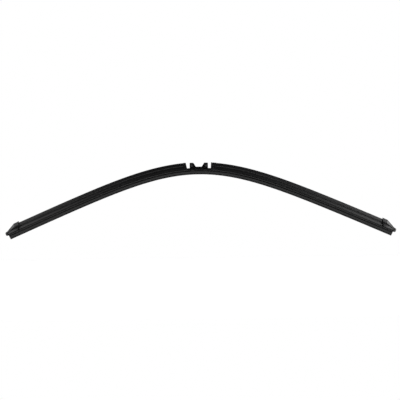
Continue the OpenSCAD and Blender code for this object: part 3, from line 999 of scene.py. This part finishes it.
# %% Turned, blackened steel
def turned_steel(name, x):
    """The finish of the pin at x."""
    material, tree, shader = finish(name)
    place = node(tree, "TexCoord").outputs["Object"]
    centred = node(tree, "Mapping", {
        "Vector": place, "Location": (-x * MM, 0, (LIP_BELOW_SEAT - PIN_H) * MM)}).outputs[0]
    rings = node(tree, "TexWave", {"Vector": centred, "Scale": 1 / (1.9 * MM),
                                   "Distortion": 0.3, "Detail": 1.0},
                 wave_type="RINGS", rings_direction="Y")
    bands = node(tree, "TexWave", {"Vector": centred, "Scale": 1 / (1.6 * MM), "Distortion": 0.4},
                 bands_direction="Y")
    marks = node(tree, "Math", {0: rings.outputs["Fac"], 1: bands.outputs["Fac"]}, operation="ADD")
    corner = node(tree, "NewGeometry").outputs["Pointiness"]
    worn = node(tree, "MapRange", {"Value": corner, "From Min": 0.52, "From Max": 0.62})
    tint = node(tree, "Mix", {0: worn.outputs[0], 6: paint("#2a2a2c"), 7: paint("#606062")},
                data_type="RGBA")
    gloss = node(tree, "MapRange", {"Value": marks.outputs[0], "From Max": 2.0,
                                    "To Min": 0.3, "To Max": 0.42})
    skin = node(tree, "Bump", {"Height": marks.outputs[0], "Distance": 0.01 * MM})
    join(tree, shader, {"Base Color": tint.outputs[2], "Roughness": gloss.outputs[0],
                        "Normal": skin.outputs[0], "Metallic": 0.8})
    return material


# %% [markdown]
# ## Putting it together
#
# Every piece gets its finish, takes the place of the plain solid that it was built from, and
# rides on the blade's one body.

# %% Dress the pieces
pieces = [
    (squeegee, "wiper_rubber", rubber, "squeegee_rubber"),
    (front_rail, "rail_front", lacquered, "rail_steel"),
    (rear_rail, "rail_rear", lacquered, "rail_steel"),
    (bracket, "mount_bracket", coated, "bracket_steel"),
    (left_pin, "pin_left", turned_steel("turned steel, left pin", -PIN_X), "pin_steel"),
    (right_pin, "pin_right", turned_steel("turned steel, right pin", PIN_X), "pin_steel"),
    (left_spoiler, "spoiler_left", elastomer, "spoiler_rubber"),
    (right_spoiler, "spoiler_right", elastomer, "spoiler_rubber"),
    (left_end, "spoiler_end_left", moulded, "moulded_plastic"),
    (right_end, "spoiler_end_right", moulded, "moulded_plastic"),
    (left_cap, "end_cap_left", moulded, "moulded_plastic"),
    (right_cap, "end_cap_right", moulded, "moulded_plastic"),
]
for piece, solid, material, slot in pieces:
    piece.data.materials.clear()
    piece.data.materials.append(material)
    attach(piece, "root")
    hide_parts(solid)
bpy.data.objects.remove(bow)
print("dressed", len(pieces), "pieces")

# %% [markdown]
# ## Studio
#
# The floor is a sheet of white paper. It lies a little below the blade, as under one held by
# its mount, and still takes its shadow. A brighter lamp would whiten it, and the blade with
# it, so the paper glows a little instead, for the camera and for what mirrors it alone.

# %% Floor
FLOOR_DROP, FLOOR_WIDTH = 60 * MM, 1.2
FLOOR_Z = cad_box[0][2] - FLOOR_DROP

bpy.ops.object.select_all(action="DESELECT")
bpy.ops.mesh.primitive_plane_add(size=FLOOR_WIDTH, location=(0, 0, FLOOR_Z))
floor = bpy.context.object
floor.name = "floor"
paper, tree, shader = finish("white paper floor")
join(tree, shader, {"Base Color": paint("#f0f0f0"), "Roughness": 0.9, "Specular IOR Level": 0.0})
ray = node(tree, "LightPath")
mirrored = node(tree, "Math", {0: ray.outputs["Is Glossy Ray"],
                               1: ray.outputs["Is Transmission Ray"]}, operation="MAXIMUM")
shown = node(tree, "Math", {0: ray.outputs["Is Camera Ray"], 1: mirrored.outputs[0]},
             operation="MAXIMUM")
glow = node(tree, "Emission", {"Color": (1, 1, 1, 1), "Strength": 0.6})
lifted = node(tree, "AddShader", {0: shader.outputs[0], 1: glow.outputs[0]})
surface = node(tree, "MixShader", {0: shown.outputs[0], 1: shader.outputs[0],
                                   2: lifted.outputs[0]})
join(tree, tree.nodes["Material Output"], {"Surface": surface.outputs[0]})
floor.data.materials.append(paper)
print("floor at", round(FLOOR_Z, 4))

# %% [markdown]
# A white backdrop stands behind, in a dark room. The backdrop is white to the camera, and so
# it is to mirrored and refracted rays that go back and low; it adds no other light. A plane
# would do for it, but the world has no edges that could come into view.

# %% Room and backdrop
ROOM_LEVEL = 0.04

world = bpy.data.worlds.new("studio")
bpy.context.scene.world = world
world.use_nodes = True
tree = world.node_tree
toward = node(tree, "SeparateXYZ", {0: node(tree, "TexCoord").outputs["Generated"]})
back = node(tree, "MapRange", {"Value": toward.outputs["Y"], "From Min": 0.2, "From Max": 0.4})
low = node(tree, "MapRange", {"Value": toward.outputs["Z"], "From Min": 0.6, "From Max": 0.4})
backdrop = node(tree, "Math", {0: back.outputs[0], 1: low.outputs[0]}, operation="MULTIPLY")
ray = node(tree, "LightPath")
mirrored = node(tree, "Math", {0: ray.outputs["Is Glossy Ray"],
                               1: ray.outputs["Is Transmission Ray"]}, operation="MAXIMUM")
in_mirror = node(tree, "Math", {0: mirrored.outputs[0], 1: backdrop.outputs[0]},
                 operation="MULTIPLY")
shown = node(tree, "Math", {0: ray.outputs["Is Camera Ray"], 1: in_mirror.outputs[0]},
             operation="MAXIMUM")
level = node(tree, "Mix", {0: shown.outputs[0], 2: ROOM_LEVEL, 3: 1.0})
join(tree, tree.nodes["Background"], {"Color": (1, 1, 1, 1), "Strength": level.outputs[0]})
print("room:", len(tree.nodes), "nodes")


# %% [markdown]
# A black object shows what it mirrors, more than its own colour. The softboxes stand far out
# to the sides, so the blade's middle mirrors the dark room in front and its drooping ends
# mirror the boxes. Lamps in front would lay a grey sheen over the whole flank.

# %% Lamps
def softbox(name, azimuth, elevation, power, away=1.6, size=1.3):
    """A softbox that faces the blade. Azimuth is from the camera's side, to the right."""
    a, e = math.radians(azimuth), math.radians(elevation)
    toward_lamp = Vector((math.sin(a) * math.cos(e), -math.cos(a) * math.cos(e), math.sin(e)))
    data = bpy.data.lights.new(name, "AREA")
    data.shape = "SQUARE"
    data.size, data.energy = size, power
    lamp = bpy.data.objects.new(name, data)
    bpy.context.scene.collection.objects.link(lamp)
    lamp.location = AIM + toward_lamp * away
    lamp.rotation_euler = (-toward_lamp).to_track_quat("-Z", "Y").to_euler()


softbox("low right softbox", 76, 15, 27)
softbox("low left softbox", -76, 15, 8)
softbox("high right softbox", 86, 30, 9)
softbox("high left softbox", -86, 30, 8)
softbox("back softbox", 180, 65, 2)
print("softboxes:", len(bpy.data.lights))

bpy.context.scene.view_settings.view_transform = "Standard"

# %% [markdown]
# Last, the script prints the size of the measured model.

# %% The measured model's size
print("measured", cad_box)
